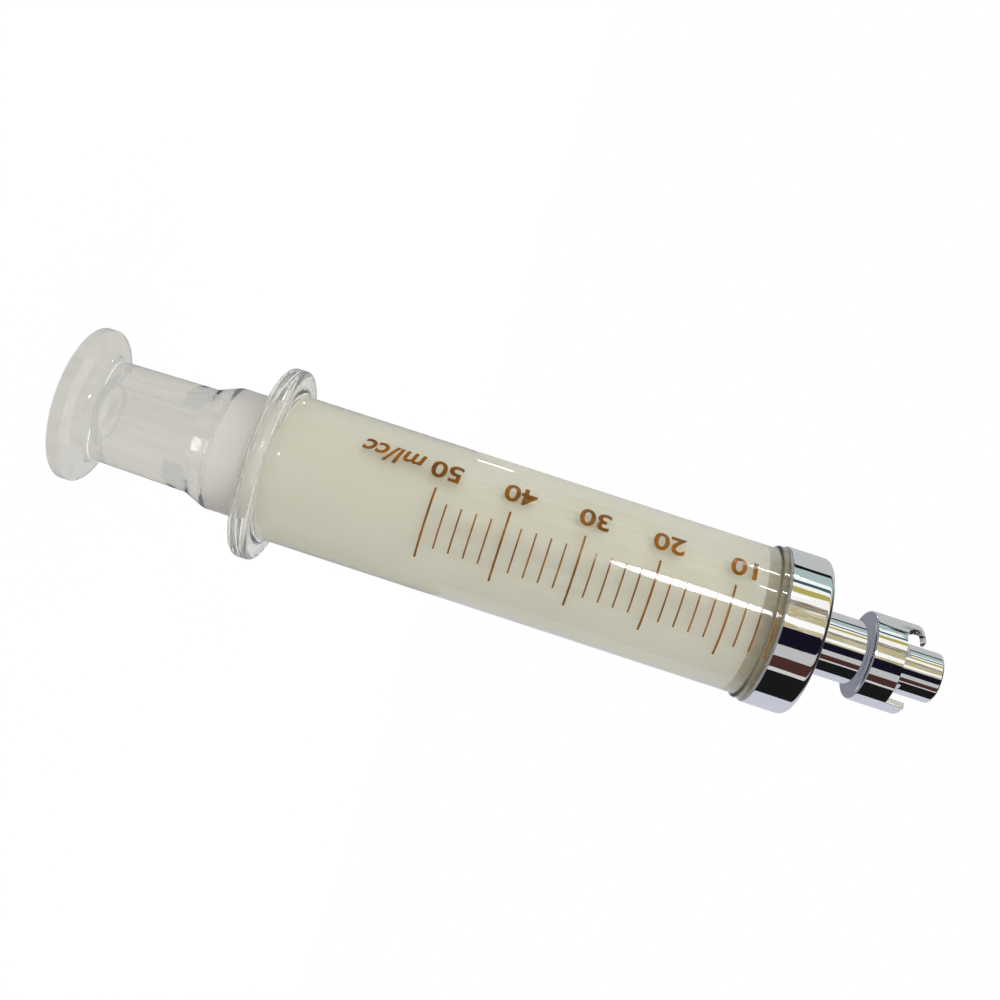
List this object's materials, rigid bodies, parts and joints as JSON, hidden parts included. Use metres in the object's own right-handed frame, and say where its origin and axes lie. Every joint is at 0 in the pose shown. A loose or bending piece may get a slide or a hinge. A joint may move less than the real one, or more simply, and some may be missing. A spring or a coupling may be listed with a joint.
{
  "type": "toomey syringe",
  "caption": "Glass irrigation syringe with a ground glass plunger, finger flange, thumb button, printed volume scale, and a plated metal nozzle with a bayonet collar.",
  "frame": {"origin": "centre of the thumb button's outer face, which is the syringe's base when it stands on its button", "axes": "+Z along the syringe from the thumb button to the nozzle's tip; -Y is the side with the volume scale"},
  "size_m": [0.0434, 0.0434, 0.196],
  "materials": {
    "barrel_glass": "gloss",
    "plunger_glass": "satin",
    "plated_brass": "polished",
    "cement": "matte",
    "scale_enamel": "satin"
  },
  "bodies": {
    "plunger": {"plunger": "plunger_glass"},
    "barrel": {"barrel": "barrel_glass", "tip_cap": "plated_brass", "cap_cement": "cement", "nozzle_tube": "plated_brass", "bayonet_collar": "plated_brass", "long_marks": "scale_enamel", "short_marks": "scale_enamel"}
  },
  "joints": [
    {"name": "plunger_slide", "type": "slide", "parent": "plunger", "child": "barrel", "axis": [0, 0, 1], "range_m": [-0.0097, 0.0714]}
  ]
}
